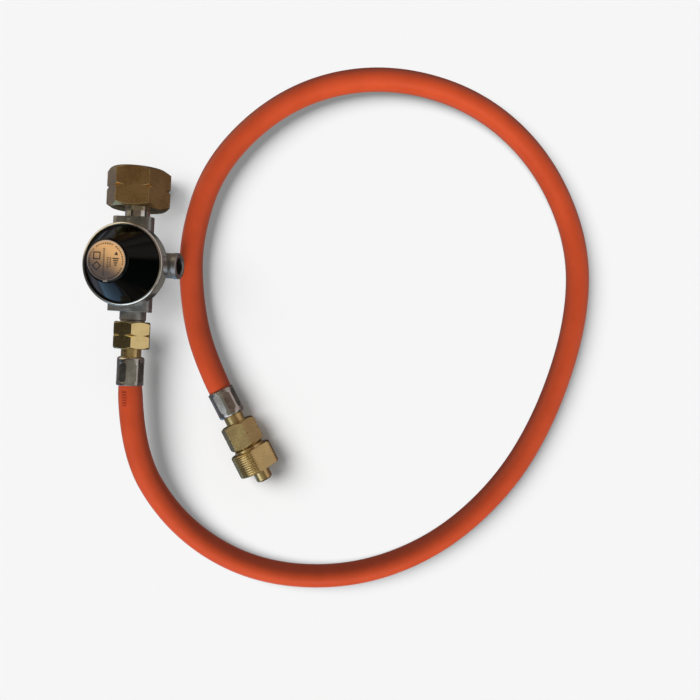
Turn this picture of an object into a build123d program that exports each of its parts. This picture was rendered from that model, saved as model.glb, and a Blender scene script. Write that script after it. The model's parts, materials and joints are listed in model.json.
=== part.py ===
from build123d import *
import math
import os

os.makedirs("parts", exist_ok=True)

# Millimetres, +Z up. The regulator lies on its bottle nut on a table at Z = 0, with the bottle
# connection towards +Y, the outlet towards -Y and the cap facing up. The hose leaves along -Y,
# makes one open loop on the table and comes back beside the regulator.

# ---- driving dimensions -------------------------------------------------------------------
# The regulator's own frame: X to the test port, Y along the flow, Z along the cap.
AXIS_X = -0.8            # the flow axis in plan
AXIS_Y = 8.7             # the cap axis crosses the flow axis here
ROLL = 11.5              # degrees that the cap leans towards -X

BOTTLE_NUT_FLATS = 30.0
BOTTLE_NUT_START = 31.8
BOTTLE_NUT_LENGTH = 21.6
BOTTLE_THREAD_R = 9.8    # wall of the bottle thread's bore
BOTTLE_RELIEF_R = 10.3   # undercut behind the thread, round the stem's nose
BOTTLE_NUT_WALL = 3.5
BOTTLE_NUT_NOTCH = 1.05  # half the width of the V notches in the corners
NOTCH_SLOPE = 1.6        # depth of a notch over its half width
AXIS_Z = BOTTLE_NUT_FLATS / 2

STEM_R = 6.7
STEM_SPIGOT_R = 6.0
STEM_BORE_R = 2.6
STEM_COLLAR_R = 9.2
STEM_NOSE_R = 5.5
STEM_NOSE_LENGTH = 3.4
STEM_IN = 14.2           # the stem's inner end, in the body

RIM_R = 22.6             # outside of the clamp ring
FLANGE_R = 21.65         # body flange and bonnet flange, inside the ring
RING_LIP_R = 21.0
RING_LOW = 8.6
FLANGE_LOW = 9.6
FLANGE_TOP = 13.0        # the diaphragm's bead lies on this
BEAD = 1.0
BONNET_FLANGE_TOP = 16.0
RING_TOP = 17.0
RING_TOP_ROUND = 1.3
RING_LOW_ROUND = 0.6
BACK = -10.0             # the body's flat back
CENTRE_R = 14.5

BONNET_BASE_R = 20.6
BONNET_TOP_R = 11.6
BONNET_TOP = 34.0
BONNET_EDGE = 1.0        # height of the rounded top edge
BONNET_INNER_R = 16.9    # inside of the cone at its foot
SPRING_SHELF = 24.0      # the threaded bush starts here
SPRING_ROOM_R = 10.2
SPRING_ROOM_TOP = 28.4
SCREW_R = 8.0
SCREW_LOW = 26.0
SCREW_LOW_R = 5.4        # the boss that centres the spring
SCREW_SHOULDER = 27.2
SCREW_TOP = 32.0
SCREW_SOCKET = 29.0      # floor of the hexagon socket
SCREW_SOCKET_FLATS = 8.0
LABEL_R = 10.25
LABEL_THICK = 0.4

INLET_END = 26.9
OUTLET_END = -25.0
SHOULDER_LOW = 0.5
SHOULDER_TOP = 8.3
SHOULDER_ROUND = 3.2
FLOW_TUBE_R = 8.6        # the round tube below the shoulders
INLET_SHOULDER = 22.6
OUTLET_SHOULDER = 24.6

CHAMBER_FLOOR = 8.0
CHAMBER_R = 19.4
POCKET_HALF = 3.2        # half the width of the lever's pocket
POCKET_BACK = -13.5
POCKET_FRONT = 4.0
POCKET_LOW = -3.5

PORT_Y = 1.4
PORT_H = 1.0
PORT_R = 7.15
PORT_BORE_R = 4.8        # open mouth
PORT_PLUG_R = 4.4        # thread that the plug sits in
PORT_END = 26.3
PORT_COLLAR = 23.4       # the round collar starts here
PORT_DEPTH = 16.0        # bottom of the port's thread
PORT_PLUG_FACE = PORT_DEPTH + 5.1
PLUG_SLOT_DEPTH = 1.8

GUIDE_R = 3.05           # the plunger's guide bore
OUTLET_BORE_R = 2.75
ORIFICE_TIP = 5.6
LIFT = 1.6               # diaphragm travel
LEVER_ARM = 9.0          # pivot to post
LEVER_DROP = 6.5         # pivot to plunger
LEVER_REST = math.degrees(math.asin(LIFT / 2 / LEVER_ARM))
PIVOT_Y = -LEVER_ARM
PIVOT_H = LEVER_DROP
PIN_R = 1.0
PLUNGER_GAP = 1.2        # open gap at the orifice

STUB_R = 7.15
STUB_END = -29.8
MALE_THREAD_R = 6.58
MALE_THREAD_END = -38.5
SEAT_MOUTH_R = 5.6
SEAT_SLOPE = math.tan(math.radians(30))

HOSE_NUT_FLATS = 19.0
HOSE_NUT_START = -45.6
HOSE_NUT_LENGTH = 15.1
HOSE_NUT_TURN = 40.0     # degrees, corner 10 degrees from the top
HOSE_NUT_NOTCH = 0.85
NUT_CAVITY_R = 6.72
NUT_BACK_HOLE_R = 5.65
NECK_R = 5.5

FERRULE_START = -50.0
FERRULE_LENGTH = 15.9
FERRULE_R = 7.35
FERRULE_WALL = 0.65
CRIMPS = 8
CRIMP_DEPTH = 0.35

HOSE_R = 6.65
HOSE_BORE_R = 3.15
TAIL_BORE_R = 2.1
TAIL_IN_HOSE = 20.0
HOSE_INSET = 1.8         # the hose's end face, inside the ferrule

FAR_X = 48.9             # mouth of the appliance ferrule
FAR_Y = -57.9
FAR_HEADING = 29.5       # degrees from -Y towards +X
ADAPTER_R = 11.8
FAR_Z = ADAPTER_R        # the adapter rests on the table
FAR_NUT_FLATS = 18.0
FAR_NUT_START = 20.6
FAR_NUT_LENGTH = 14.6
FAR_NUT_TURN = 8.5
FAR_NUT_NOTCH = 0.4
ADAPTER_COLLAR = 35.8
ADAPTER_START = 37.6
ADAPTER_END = 50.6
ADAPTER_FLATS = 19.3
ADAPTER_FLAT_TURN = 50.0
RIDGE_PITCH = 1.27
RIDGE_DEPTH = 0.55
NOSE_R = 4.7
NOSE_END = 57.2

FIT = 0.05               # gap between pieces that only meet

# ---- planes and axes ----------------------------------------------------------------------
roll = math.radians(ROLL)
REG = Plane(
    origin=(AXIS_X, AXIS_Y, AXIS_Z),
    x_dir=(math.cos(roll), 0, math.sin(roll)),
    z_dir=(-math.sin(roll), 0, math.cos(roll)),
)
# Profiles about the cap axis: local x is the radius, local y the height.
CAP_PROFILE = Plane(origin=REG.origin, x_dir=REG.x_dir, z_dir=-REG.y_dir)
CAP_AXIS = Axis(REG.origin, REG.z_dir)
# Profiles about the flow axis: local x runs to the bottle, local y is the radius.
FLOW_PROFILE = Plane(origin=REG.origin, x_dir=REG.y_dir, z_dir=REG.x_dir)
FLOW_AXIS = Axis(REG.origin, REG.y_dir)
# Sections across the flow, upright and not rolled: local y is up, local x is -X.
FLOW_SECTION = Plane(origin=REG.origin, x_dir=(-1, 0, 0), z_dir=(0, 1, 0))
# Sections across the flow in the rolled frame: local y is the cap direction.
BODY_SECTION = Plane(origin=REG.origin, x_dir=-REG.x_dir, z_dir=REG.y_dir)
# The test port, along the regulator's own X.
PORT_PROFILE = Plane(
    origin=REG.from_local_coords((0, PORT_Y, PORT_H)), x_dir=REG.x_dir, z_dir=-REG.y_dir
)
PORT_SECTION = Plane(origin=PORT_PROFILE.origin, x_dir=REG.y_dir, z_dir=REG.x_dir)
PORT_AXIS = Axis(PORT_PROFILE.origin, REG.x_dir)

heading = math.radians(FAR_HEADING)
FAR_ALONG = Vector(math.sin(heading), -math.cos(heading), 0)
FAR_ACROSS = Vector(math.cos(heading), math.sin(heading), 0)
# The appliance end: local x runs away from the hose, from the ferrule's mouth.
FAR_PROFILE = Plane(origin=(FAR_X, FAR_Y, FAR_Z), x_dir=FAR_ALONG, z_dir=-FAR_ACROSS)
FAR_SECTION = Plane(origin=(FAR_X, FAR_Y, FAR_Z), x_dir=FAR_ACROSS, z_dir=FAR_ALONG)
FAR_AXIS = Axis((FAR_X, FAR_Y, FAR_Z), FAR_ALONG)


def shape(plane, *points):
    """A closed straight-sided face on a plane."""
    with BuildSketch(plane) as drawn:
        with BuildLine():
            Polyline(*points, close=True)
        make_face()
    return drawn.sketch


def turned(plane, axis, *points):
    """A piece turned from one outline."""
    with BuildPart() as piece:
        revolve(shape(plane, *points), axis=axis)
    return piece


def hexagon_nut(section, profile, axis, start, length, flats, turn, notch, cavity):
    """Union nut: chamfered hexagon, V notches in its corners, stepped bore.

    notch is half the width of the V, and cavity is the half outline of the bore, as
    (station, radius) points.
    """
    corner = flats / math.sqrt(3)
    rim = flats / 2 * 0.95
    slope = (corner - rim) * math.tan(math.radians(32))
    end = start + length
    middle = start + length / 2
    depth = NOTCH_SLOPE * notch
    with BuildPart() as nut:
        with BuildSketch(section.offset(start)):
            RegularPolygon(flats / 2, 6, major_radius=False, rotation=turn)
        extrude(amount=length)
        revolve(
            shape(
                profile,
                (start, 0),
                (start, rim),
                (start + slope, corner),
                (end - slope, corner),
                (end, rim),
                (end, 0),
            ),
            axis=axis,
            mode=Mode.INTERSECT,
        )
        revolve(
            shape(
                profile,
                (middle, corner - depth),
                (middle + notch, corner),
                (middle - notch, corner),
            ),
            axis=axis,
            mode=Mode.SUBTRACT,
        )
        revolve(shape(profile, *cavity), axis=axis, mode=Mode.SUBTRACT)
    return nut


def crimped_ferrule(section, profile, axis, start, length):
    """Sleeve with a closed curled shoulder at start and crimp flats along it.

    length is negative where the sleeve runs against the plane's local x.
    """
    way = 1 if length > 0 else -1
    end = start + length
    inner = FERRULE_R - FERRULE_WALL
    bend = 1.5
    with BuildPart() as sleeve:
        with BuildSketch(profile):
            with BuildLine():
                Line((start, NECK_R + FIT), (start, FERRULE_R - bend))
                curl = SagittaArc(
                    (start, FERRULE_R - bend), (start + way * bend, FERRULE_R), way * bend * 0.293
                )
                Polyline(
                    curl @ 1,
                    (end - way * 0.3, FERRULE_R),
                    (end, FERRULE_R - 0.3),
                    (end, inner),
                    (start + way * (bend + 0.2), inner),
                    (start + way * 0.8, inner - 1.0),
                    (start + way * 0.8, NECK_R + FIT),
                    (start, NECK_R + FIT),
                )
            make_face()
        revolve(axis=axis)
        centre = start + length * 0.54
        for step in range(CRIMPS):
            angle = math.radians(360 / CRIMPS * (step + 0.5))
            across = section.x_dir * math.cos(angle) + section.y_dir * math.sin(angle)
            flat = Plane(
                origin=section.origin + section.z_dir * centre + across * (FERRULE_R - CRIMP_DEPTH),
                x_dir=section.z_dir,
                z_dir=across,
            )
            with BuildSketch(flat):
                SlotOverall(abs(length) * 0.72, 4.3)
            extrude(amount=1.5, mode=Mode.SUBTRACT)
    return sleeve


def hose_tail(profile, axis, nut_wall, neck_end, way):
    """Nipple: cone, collar behind the nut's wall, neck, and a barbed tail in the hose.

    way is the direction from the cone to the hose along the plane's local x.
    """
    collar = nut_wall - way * FIT
    cone_start = collar - way * 2.3
    tip = cone_start - way * 4.2
    end = neck_end + way * TAIL_IN_HOSE
    barbs = []
    for step in range(5):
        station = neck_end + way * (3.0 + 3.4 * step)
        barbs += [(station, 2.8), (station, 3.12)]
    with BuildPart() as tail:
        revolve(
            shape(
                profile,
                (tip, TAIL_BORE_R),
                (tip, SEAT_MOUTH_R - 0.1 - 3.9 * SEAT_SLOPE),
                (cone_start, SEAT_MOUTH_R + 0.07),
                (cone_start, 6.4),
                (collar, 6.4),
                (collar, NECK_R),
                (neck_end - way * FIT, NECK_R),
                (neck_end - way * FIT, 3.12),
                *barbs,
                (end, 2.8),
                (end, TAIL_BORE_R),
            ),
            axis=axis,
        )
    return tail


def coil(base, radius, wire, pitch, height):
    """A wound spring with its axis along the base plane's normal."""
    with BuildPart() as spring:
        with BuildLine():
            wound = Helix(
                pitch=pitch,
                height=height - 2 * wire,
                radius=radius,
                center=base.offset(wire).origin,
                direction=base.z_dir,
            )
        with BuildSketch(Plane(origin=wound @ 0, z_dir=wound % 0)):
            Circle(wire)
        sweep(path=wound)
    return spring


pieces = {}

# ---- regulator body -----------------------------------------------------------------------
with BuildPart() as regulator_body:
    # The dish under the diaphragm and the round centre below it.
    revolve(
        shape(
            CAP_PROFILE,
            (0, BACK),
            (CENTRE_R - 1.5, BACK),
            (CENTRE_R, BACK + 1.5),
            (CENTRE_R, 2.0),
            (RING_LIP_R - 0.5, RING_LOW - 1.6),
            (RING_LIP_R - 0.1, RING_LOW - 0.8),
            (RING_LIP_R - 0.1, FLANGE_LOW),
            (FLANGE_R, FLANGE_LOW),
            (FLANGE_R, FLANGE_TOP),
            (0, FLANGE_TOP),
        ),
        axis=CAP_AXIS,
    )
    # Cast shoulders round the inlet and the outlet, with flats for a spanner.
    middle = (SHOULDER_LOW + SHOULDER_TOP) / 2
    tall = SHOULDER_TOP - SHOULDER_LOW
    with BuildSketch(BODY_SECTION):
        with Locations((0, middle)):
            RectangleRounded(INLET_SHOULDER, tall, SHOULDER_ROUND)
    extrude(amount=INLET_END)
    with BuildSketch(BODY_SECTION):
        with Locations((0, middle)):
            RectangleRounded(OUTLET_SHOULDER, tall, SHOULDER_ROUND)
    extrude(amount=OUTLET_END)
    # The round tube that carries the flow, standing out below the shoulders.
    with BuildSketch(BODY_SECTION.offset(OUTLET_END + 1.2)):
        Circle(FLOW_TUBE_R)
    extrude(amount=INLET_END - OUTLET_END - 2.4)
    # The outlet stub with its male thread and coned seat.
    revolve(
        shape(
            FLOW_PROFILE,
            (OUTLET_END + 1, 0),
            (OUTLET_END + 1, STUB_R),
            (STUB_END + 0.4, STUB_R),
            (STUB_END, STUB_R - 0.4),
            (STUB_END, MALE_THREAD_R),
            (MALE_THREAD_END + 0.8, MALE_THREAD_R),
            (MALE_THREAD_END, MALE_THREAD_R - 0.6),
            (MALE_THREAD_END, 0),
        ),
        axis=FLOW_AXIS,
    )
    # The test port: a cast block with flats and a round collar at its mouth.
    with BuildSketch(PORT_SECTION.offset(CENTRE_R - 4)):
        RegularPolygon(PORT_R - 0.45, 8, major_radius=False, rotation=22.5)
    extrude(amount=PORT_COLLAR - CENTRE_R + 4)
    revolve(
        shape(
            PORT_PROFILE,
            (PORT_COLLAR - 0.4, 0),
            (PORT_COLLAR - 0.4, PORT_R - 0.4),
            (PORT_COLLAR, PORT_R),
            (PORT_END - 0.5, PORT_R),
            (PORT_END, PORT_R - 0.5),
            (PORT_END, 0),
        ),
        axis=PORT_AXIS,
    )
    # The chamber under the diaphragm and the lever's pocket below its floor.
    revolve(
        shape(
            CAP_PROFILE,
            (0, CHAMBER_FLOOR),
            (CHAMBER_R - 1.2, CHAMBER_FLOOR),
            (CHAMBER_R, CHAMBER_FLOOR + 1.2),
            (CHAMBER_R, FLANGE_TOP + 1),
            (0, FLANGE_TOP + 1),
        ),
        axis=CAP_AXIS,
        mode=Mode.SUBTRACT,
    )
    with BuildSketch(REG.offset(POCKET_LOW)):
        with Locations((0, (POCKET_FRONT + POCKET_BACK) / 2)):
            Rectangle(2 * POCKET_HALF, POCKET_FRONT - POCKET_BACK)
    extrude(amount=CHAMBER_FLOOR - POCKET_LOW + 1, mode=Mode.SUBTRACT)
    # Open grooves for the lever's pin.
    with BuildSketch(REG.offset(PIVOT_H - PIN_R - FIT)):
        with Locations((0, PIVOT_Y)):
            Rectangle(16.4, 2 * (PIN_R + FIT))
    extrude(amount=CHAMBER_FLOOR - PIVOT_H + PIN_R + 1, mode=Mode.SUBTRACT)
    # The bores along the flow: stem, orifice, plunger guide, outlet and coned seat.
    revolve(
        shape(
            FLOW_PROFILE,
            (INLET_END + 1, 0),
            (INLET_END + 1, STEM_SPIGOT_R + FIT),
            (STEM_IN - 0.2, STEM_SPIGOT_R + FIT),
            (STEM_IN - 0.2, 4.55),
            (8.0, 4.55),
            (8.0, GUIDE_R),
            (-17.0, GUIDE_R),
            (-17.0, OUTLET_BORE_R),
            (MALE_THREAD_END + (SEAT_MOUTH_R - OUTLET_BORE_R) / SEAT_SLOPE, OUTLET_BORE_R),
            (MALE_THREAD_END, SEAT_MOUTH_R),
            (MALE_THREAD_END - 1, SEAT_MOUTH_R),
            (MALE_THREAD_END - 1, 0),
        ),
        axis=FLOW_AXIS,
        mode=Mode.SUBTRACT,
    )
    # The port's bore and the narrow passage to the pocket.
    revolve(
        shape(
            PORT_PROFILE,
            (PORT_END + 0.5, 0),
            (PORT_END + 0.5, PORT_BORE_R + 1.1),
            (PORT_END - 0.6, PORT_BORE_R),
            (PORT_PLUG_FACE, PORT_BORE_R),
            (PORT_PLUG_FACE, PORT_PLUG_R),
            (PORT_DEPTH, PORT_PLUG_R),
            (PORT_DEPTH, 1.2),
            (1.0, 1.2),
            (1.0, 0),
        ),
        axis=PORT_AXIS,
        mode=Mode.SUBTRACT,
    )
    # A shallow round recess in the back.
    with BuildSketch(REG.offset(BACK)):
        Circle(9.0)
    extrude(amount=0.8, mode=Mode.SUBTRACT)
pieces["regulator_body"] = regulator_body

# ---- cap and what it holds ----------------------------------------------------------------
with BuildPart() as clamp_ring:
    with BuildSketch(CAP_PROFILE):
        with BuildLine():
            heel = (RIM_R - RING_LOW_ROUND, RING_LOW)
            wall_top = (RIM_R, RING_TOP - RING_TOP_ROUND)
            Line((RING_LIP_R, RING_LOW), heel)
            low_round = TangentArc(heel, (RIM_R, RING_LOW + RING_LOW_ROUND), tangent=(1, 0))
            Line(low_round @ 1, wall_top)
            top_round = TangentArc(wall_top, (RIM_R - RING_TOP_ROUND, RING_TOP), tangent=(0, 1))
            Polyline(
                top_round @ 1,
                (RING_LIP_R + 0.2, RING_TOP),
                (RING_LIP_R, RING_TOP - 0.2),
                (RING_LIP_R, BONNET_FLANGE_TOP + FIT),
                (FLANGE_R + FIT, BONNET_FLANGE_TOP + FIT),
                (FLANGE_R + FIT, FLANGE_LOW),
                (RING_LIP_R, FLANGE_LOW),
                (RING_LIP_R, RING_LOW),
            )
        make_face()
    revolve(axis=CAP_AXIS)
pieces["clamp_ring"] = clamp_ring

cone_height = BONNET_TOP - BONNET_EDGE - BONNET_FLANGE_TOP
cone_run = (BONNET_BASE_R - BONNET_TOP_R) / cone_height
with BuildPart() as bonnet:
    with BuildSketch(CAP_PROFILE):
        with BuildLine():
            brow = (BONNET_TOP_R, BONNET_TOP - BONNET_EDGE)
            Polyline(
                (BONNET_INNER_R + 0.3, FLANGE_TOP + BEAD),
                (FLANGE_R, FLANGE_TOP + BEAD),
                (FLANGE_R, BONNET_FLANGE_TOP),
                (BONNET_BASE_R, BONNET_FLANGE_TOP),
                brow,
            )
            edge = TangentArc(brow, (BONNET_TOP_R - 1.3, BONNET_TOP), tangent=(-cone_run, 1))
            Polyline(
                edge @ 1,
                (SCREW_R, BONNET_TOP),
                (SCREW_R, SPRING_SHELF),
                (SPRING_ROOM_R, SPRING_SHELF),
                (SPRING_ROOM_R, SPRING_ROOM_TOP),
                (SPRING_ROOM_R + 1.0, SPRING_ROOM_TOP),
                (BONNET_INNER_R, BONNET_FLANGE_TOP + 0.3),
                (BONNET_INNER_R + 0.3, FLANGE_TOP + BEAD),
            )
        make_face()
    revolve(axis=CAP_AXIS)
pieces["bonnet"] = bonnet

with BuildPart() as rating_label:
    with BuildSketch(REG.offset(BONNET_TOP)):
        Circle(LABEL_R)
        with Locations((0, -LABEL_R - 0.2)):
            Rectangle(2.2, 1.0)
    extrude(amount=LABEL_THICK)
pieces["rating_label"] = rating_label

with BuildPart() as adjusting_screw:
    revolve(
        shape(
            CAP_PROFILE,
            (0, SCREW_LOW),
            (SCREW_LOW_R, SCREW_LOW),
            (SCREW_LOW_R, SCREW_SHOULDER),
            (SCREW_R - FIT, SCREW_SHOULDER),
            (SCREW_R - FIT, SCREW_TOP),
            (0, SCREW_TOP),
        ),
        axis=CAP_AXIS,
    )
    with BuildSketch(REG.offset(SCREW_SOCKET)):
        RegularPolygon(SCREW_SOCKET_FLATS / 2, 6, major_radius=False)
    extrude(amount=SCREW_TOP - SCREW_SOCKET + 1, mode=Mode.SUBTRACT)
pieces["adjusting_screw"] = adjusting_screw

PLATE_LOW = FLANGE_TOP + BEAD + FIT
PLATE_TOP = PLATE_LOW + 1.1
pieces["main_spring"] = coil(REG.offset(PLATE_TOP + FIT), 6.6, 0.75, 2.6, SCREW_SHOULDER - FIT - PLATE_TOP)

with BuildPart() as diaphragm:
    with BuildSketch(CAP_PROFILE):
        with BuildLine():
            low = FLANGE_TOP + 0.2
            high = FLANGE_TOP + BEAD
            Polyline((FLANGE_R - FIT, high), (16.9, high))
            over = ThreePointArc((16.9, high), (15.3, high + 1.5), (13.7, high))
            Polyline(over @ 1, (2.1, high), (2.1, low), (14.5, low))
            hollow = ThreePointArc((14.5, low), (15.3, low + 1.3), (16.1, low))
            Polyline(
                hollow @ 1,
                (CHAMBER_R, low),
                (CHAMBER_R, FLANGE_TOP),
                (FLANGE_R - FIT, FLANGE_TOP),
                (FLANGE_R - FIT, high),
            )
        make_face()
    revolve(axis=CAP_AXIS)
pieces["diaphragm"] = diaphragm

pieces["diaphragm_plate"] = turned(
    CAP_PROFILE,
    CAP_AXIS,
    (2.1, PLATE_LOW),
    (12.2, PLATE_LOW),
    (13.2, PLATE_LOW + 1.6),
    (12.7, PLATE_LOW + 2.2),
    (11.6, PLATE_TOP),
    (2.1, PLATE_TOP),
)

NUT_LOW = 19.4
with BuildPart() as diaphragm_post:
    revolve(
        shape(
            CAP_PROFILE,
            (0, 11.6),
            (4.6, 11.6),
            (5.2, FLANGE_TOP + 0.15),
            (2.0, FLANGE_TOP + 0.15),
            (2.0, NUT_LOW + 2.6),
            (0, NUT_LOW + 2.6),
        ),
        axis=CAP_AXIS,
    )
    # The yoke below it holds the lever's end in a slot.
    with BuildSketch(REG.offset(3.3)):
        Rectangle(4.8, 4.4)
    extrude(amount=8.6)
    slot_height = PIVOT_H - LIFT / 2
    with BuildSketch(REG.offset(slot_height - 1.45)):
        with Locations((0, -1.4)):
            Rectangle(3.2, 5.6)
    extrude(amount=2.9, mode=Mode.SUBTRACT)
pieces["diaphragm_post"] = diaphragm_post

pieces["relief_spring"] = coil(
    REG.offset(PLATE_TOP + FIT), 3.0, 0.4, 1.3, NUT_LOW - PLATE_TOP - 2 * FIT
)

with BuildPart() as relief_nut:
    with BuildSketch(REG.offset(NUT_LOW)):
        RegularPolygon(3.5, 6, major_radius=False)
        Circle(2.03, mode=Mode.SUBTRACT)
    extrude(amount=2.0)
pieces["relief_nut"] = relief_nut

# ---- lever and valve ----------------------------------------------------------------------
# The lever is drawn square and then turned to its rest angle about its pin.
LEVER = Plane(
    origin=REG.from_local_coords((0, PIVOT_Y, PIVOT_H)), x_dir=REG.y_dir, z_dir=REG.x_dir
)
rest = math.radians(LEVER_REST)
LEVER_TURNED = Plane(
    origin=LEVER.origin,
    x_dir=LEVER.x_dir * math.cos(rest) - LEVER.y_dir * math.sin(rest),
    z_dir=LEVER.z_dir,
)
with BuildPart() as lever:
    with BuildSketch(LEVER_TURNED.offset(-1.4)):
        Circle(2.3)
        with Locations((LEVER_ARM / 2, 0)):
            Rectangle(LEVER_ARM, 1.5)
        with Locations((LEVER_ARM, 0)):
            Circle(1.2)
        with Locations((0, -LEVER_DROP / 2)):
            Rectangle(1.6, LEVER_DROP)
        with Locations((0, -LEVER_DROP)):
            Circle(1.2)
        Circle(PIN_R + FIT, mode=Mode.SUBTRACT)
    extrude(amount=2.8)
pieces["lever"] = lever

with BuildPart() as lever_pin:
    with BuildSketch(LEVER.offset(-8.0)):
        Circle(PIN_R)
    extrude(amount=16.0)
pieces["lever_pin"] = lever_pin

PAD_FACE = ORIFICE_TIP - PLUNGER_GAP
PLUNGER_FRONT = PAD_FACE - 0.95
PLUNGER_SLOT = PIVOT_Y - LEVER_DROP * math.sin(math.radians(LEVER_REST))
with BuildPart() as valve_plunger:
    revolve(
        shape(
            FLOW_PROFILE,
            (-15.5, 0),
            (-15.5, 2.6),
            (-15.1, 3.0),
            (PLUNGER_FRONT, 3.0),
            (PLUNGER_FRONT, 2.65),
            (PLUNGER_FRONT - 0.9, 2.65),
            (PLUNGER_FRONT - 0.9, 0),
        ),
        axis=FLOW_AXIS,
    )
    # The cross slot that takes the lever.
    with BuildSketch(REG.offset(-1.7)):
        with Locations((0, PLUNGER_SLOT)):
            Rectangle(3.2, 2.8)
    extrude(amount=6, mode=Mode.SUBTRACT)
    # A flat on top, under the post, and gas flats on both sides.
    with BuildSketch(REG.offset(2.5)):
        Rectangle(8, 12)
    extrude(amount=2, mode=Mode.SUBTRACT)
    for side in (-1, 1):
        with BuildSketch(BODY_SECTION.offset(-16)):
            with Locations((side * 3.6, 0)):
                Rectangle(2, 8)
        extrude(amount=20, mode=Mode.SUBTRACT)
pieces["valve_plunger"] = valve_plunger

pieces["seat_pad"] = turned(
    FLOW_PROFILE,
    FLOW_AXIS,
    (PLUNGER_FRONT - 0.9, 0),
    (PLUNGER_FRONT - 0.9, 2.5),
    (PAD_FACE, 2.5),
    (PAD_FACE, 0),
)

pieces["valve_orifice"] = turned(
    FLOW_PROFILE,
    FLOW_AXIS,
    (ORIFICE_TIP, 1.0),
    (ORIFICE_TIP, 1.5),
    (8.0, 2.2),
    (8.0, 4.5),
    (13.6, 4.5),
    (13.6, 2.2),
    (10.8, 2.2),
    (10.8, 1.0),
)

# ---- bottle connection --------------------------------------------------------------------
WALL_END = BOTTLE_NUT_START + BOTTLE_NUT_WALL
COLLAR_END = WALL_END + 2.7
NOSE_TIP = COLLAR_END + STEM_NOSE_LENGTH
pieces["inlet_stem"] = turned(
    FLOW_PROFILE,
    FLOW_AXIS,
    (STEM_IN, 4.5),
    (STEM_IN, STEM_SPIGOT_R),
    (INLET_END, STEM_SPIGOT_R),
    (INLET_END, STEM_R - 0.3),
    (INLET_END + 0.3, STEM_R),
    (WALL_END + 0.1, STEM_R),
    (WALL_END + 0.1, STEM_COLLAR_R),
    (COLLAR_END, STEM_COLLAR_R),
    (COLLAR_END, STEM_NOSE_R),
    (NOSE_TIP - 0.7, STEM_NOSE_R),
    (NOSE_TIP, STEM_NOSE_R - 0.7),
    (NOSE_TIP, STEM_BORE_R),
    (STEM_IN + 2.0, STEM_BORE_R),
    (STEM_IN + 2.0, 4.5),
)

pieces["inlet_filter"] = turned(
    FLOW_PROFILE,
    FLOW_AXIS,
    (STEM_IN + 0.1, 0),
    (STEM_IN + 0.1, 4.45),
    (STEM_IN + 1.95, 4.45),
    (STEM_IN + 1.95, 0),
)

pieces["inlet_seal"] = turned(
    FLOW_PROFILE,
    FLOW_AXIS,
    (COLLAR_END + FIT, STEM_NOSE_R + FIT),
    (COLLAR_END + FIT, 8.8),
    (COLLAR_END + 1.7, 8.8),
    (COLLAR_END + 2.0, 8.5),
    (COLLAR_END + 2.0, STEM_NOSE_R + FIT),
)

BOTTLE_NUT_END = BOTTLE_NUT_START + BOTTLE_NUT_LENGTH
pieces["inlet_union_nut"] = hexagon_nut(
    FLOW_SECTION,
    FLOW_PROFILE,
    FLOW_AXIS,
    BOTTLE_NUT_START,
    BOTTLE_NUT_LENGTH,
    BOTTLE_NUT_FLATS,
    0,
    BOTTLE_NUT_NOTCH,
    [
        (BOTTLE_NUT_START - 1, 0),
        (BOTTLE_NUT_START - 1, STEM_R + 0.2),
        (WALL_END, STEM_R + 0.2),
        (WALL_END, BOTTLE_RELIEF_R),
        (NOSE_TIP + 0.2, BOTTLE_RELIEF_R),
        (NOSE_TIP + 0.2, BOTTLE_THREAD_R),
        (BOTTLE_NUT_END - 1.2, BOTTLE_THREAD_R),
        (BOTTLE_NUT_END, BOTTLE_THREAD_R + 1.2),
        (BOTTLE_NUT_END + 1, BOTTLE_THREAD_R + 1.2),
        (BOTTLE_NUT_END + 1, 0),
    ],
)

# ---- test port ----------------------------------------------------------------------------
with BuildPart() as port_plug:
    revolve(
        shape(
            PORT_PROFILE,
            (PORT_DEPTH + 1.1, 0),
            (PORT_DEPTH + 1.1, PORT_PLUG_R - FIT),
            (PORT_PLUG_FACE - 0.5, PORT_PLUG_R - FIT),
            (PORT_PLUG_FACE, PORT_PLUG_R - 0.5),
            (PORT_PLUG_FACE, 0),
        ),
        axis=PORT_AXIS,
    )
    with BuildSketch(PORT_SECTION.offset(PORT_PLUG_FACE - PLUG_SLOT_DEPTH)):
        Rectangle(1.3, 4 * PORT_PLUG_R)
    extrude(amount=PLUG_SLOT_DEPTH + 1, mode=Mode.SUBTRACT)
pieces["port_plug"] = port_plug

pieces["port_seal"] = turned(
    PORT_PROFILE,
    PORT_AXIS,
    (PORT_DEPTH + FIT, 1.6),
    (PORT_DEPTH + FIT, PORT_PLUG_R - 0.15),
    (PORT_DEPTH + 1.05, PORT_PLUG_R - 0.15),
    (PORT_DEPTH + 1.05, 1.6),
)

# ---- outlet end of the regulator and the hose's first end ---------------------------------
HOSE_NUT_FRONT = HOSE_NUT_START + HOSE_NUT_LENGTH
HOSE_NUT_WALL = HOSE_NUT_START + 4.3
pieces["hose_nut_regulator_end"] = hexagon_nut(
    FLOW_SECTION,
    FLOW_PROFILE,
    FLOW_AXIS,
    HOSE_NUT_START,
    HOSE_NUT_LENGTH,
    HOSE_NUT_FLATS,
    HOSE_NUT_TURN,
    HOSE_NUT_NOTCH,
    [
        (HOSE_NUT_FRONT + 1, 0),
        (HOSE_NUT_FRONT + 1, NUT_CAVITY_R + 0.9),
        (HOSE_NUT_FRONT, NUT_CAVITY_R + 0.9),
        (HOSE_NUT_FRONT - 0.9, NUT_CAVITY_R),
        (HOSE_NUT_WALL, NUT_CAVITY_R),
        (HOSE_NUT_WALL, NUT_BACK_HOLE_R),
        (HOSE_NUT_START - 1, NUT_BACK_HOLE_R),
        (HOSE_NUT_START - 1, 0),
    ],
)
pieces["hose_tail_regulator_end"] = hose_tail(
    FLOW_PROFILE, FLOW_AXIS, HOSE_NUT_WALL + 2 * FIT, FERRULE_START - 0.9, -1
)
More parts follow.
